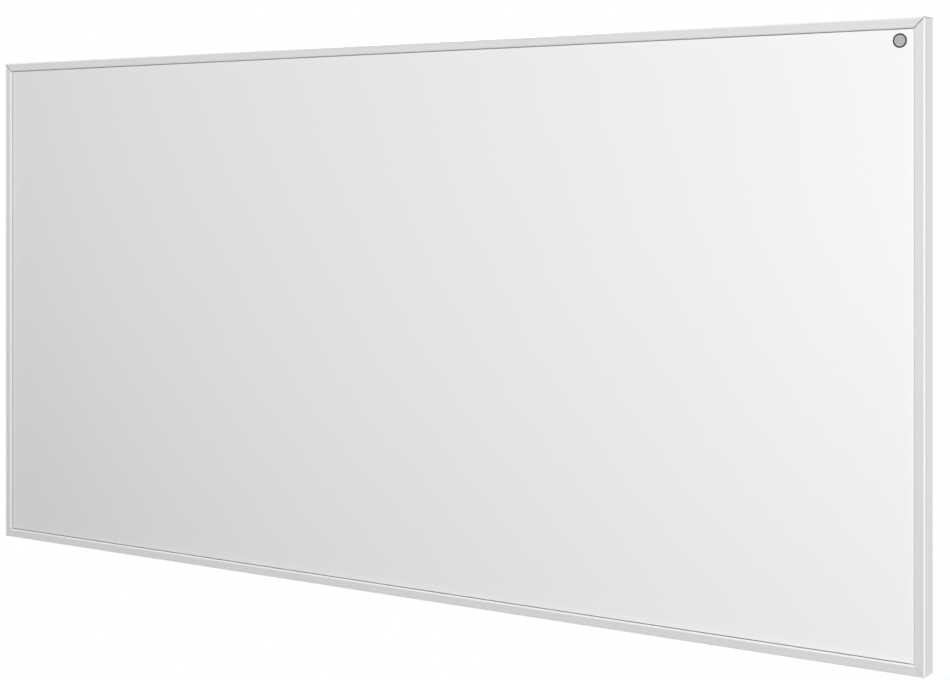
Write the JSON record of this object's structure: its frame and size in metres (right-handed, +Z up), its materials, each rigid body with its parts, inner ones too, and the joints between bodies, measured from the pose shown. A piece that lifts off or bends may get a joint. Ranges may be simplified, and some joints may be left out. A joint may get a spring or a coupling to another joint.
{
  "type": "infrared panel heater",
  "caption": "Slim wall-hung infrared heater: flat white radiating plate in a mitred metal frame, keyhole hanger brackets, junction box and cable gland behind.",
  "frame": {"origin": "the point of the wall's plane behind the panel's centre", "axes": "+X along the panel's width, to the right seen from the front; +Y into the wall; +Z up"},
  "size_m": [1.2, 0.095, 0.6],
  "materials": {
    "front_coat": "fine satin powder coat, white",
    "frame_aluminium": "satin, very pale silver-white",
    "edge_seal": "matt grey silicone strip",
    "rear_coat": "thin pale powder coat on sheet steel",
    "zinc_steel": "bright zinc plate",
    "laminate": "dark resin-bonded sheet",
    "copper": "bare copper strip",
    "foil": "bright foil",
    "insulation": "needled mineral felt",
    "phenolic": "dark moulded resin",
    "lead_brown": "silicone insulation, brown",
    "lead_blue": "silicone insulation, blue",
    "lead_green": "silicone insulation, green and yellow",
    "box_plastic": "fine-textured moulded plastic, off-white",
    "terminal_plastic": "moulded plastic, off-white",
    "gland_nylon": "moulded nylon, grey",
    "gland_rubber": "soft black rubber",
    "spacer_nylon": "natural nylon"
  },
  "bodies": {
    "wall_fixings": {"wall_spacer_top_left": "spacer_nylon", "wall_spacer_top_right": "spacer_nylon", "wall_spacer_bottom_right": "spacer_nylon", "wall_spacer_bottom_left": "spacer_nylon", "wall_screw_top_left": "zinc_steel", "wall_screw_top_right": "zinc_steel", "wall_screw_bottom_right": "zinc_steel", "wall_screw_bottom_left": "zinc_steel"},
    "heater": {"frame_top_rail": "frame_aluminium", "frame_right_stile": "frame_aluminium", "frame_bottom_rail": "frame_aluminium", "frame_left_stile": "frame_aluminium", "corner_key_top_left": "zinc_steel", "corner_key_top_right": "zinc_steel", "corner_key_bottom_right": "zinc_steel", "corner_key_bottom_left": "zinc_steel", "front_panel": "front_coat", "panel_edge_seal": "edge_seal", "heating_laminate": "laminate", "bus_bar_top": "copper", "bus_bar_bottom": "copper", "reflector_foil": "foil", "insulation_mat": "insulation", "thermal_cutout_lower": "phenolic", "thermal_cutout_upper": "phenolic", "live_lead": "lead_brown", "link_lead": "lead_brown", "feed_lead": "lead_brown", "neutral_lead": "lead_blue", "earth_lead": "lead_green", "earth_stud": "zinc_steel", "earth_nut": "zinc_steel", "rear_cover": "rear_coat", "rear_cover_screw_top_1": "zinc_steel", "rear_cover_screw_top_2": "zinc_steel", "rear_cover_screw_top_3": "zinc_steel", "rear_cover_screw_top_4": "zinc_steel", "rear_cover_screw_right_1": "zinc_steel", "rear_cover_screw_bottom_1": "zinc_steel", "rear_cover_screw_bottom_2": "zinc_steel", "rear_cover_screw_bottom_3": "zinc_steel", "rear_cover_screw_bottom_4": "zinc_steel", "rear_cover_screw_left_1": "zinc_steel", "hanger_bracket_top_left": "zinc_steel", "hanger_bracket_top_right": "zinc_steel", "hanger_bracket_bottom_right": "zinc_steel", "hanger_bracket_bottom_left": "zinc_steel", "junction_box_base": "box_plastic", "junction_box_lid": "box_plastic", "box_lid_screw_top_left": "zinc_steel", "box_lid_screw_top_right": "zinc_steel", "box_lid_screw_bottom_right": "zinc_steel", "box_lid_screw_bottom_left": "zinc_steel", "terminal_block": "terminal_plastic", "cable_gland_body": "gland_nylon", "cable_gland_locknut": "gland_nylon", "cable_gland_nut": "gland_nylon", "cable_gland_seal": "gland_rubber"}
  },
  "joints": [
    {"name": "panel_lift", "type": "slide", "parent": "wall_fixings", "child": "heater", "axis": [0, 0, 1], "range_m": [0, 0.012]}
  ]
}
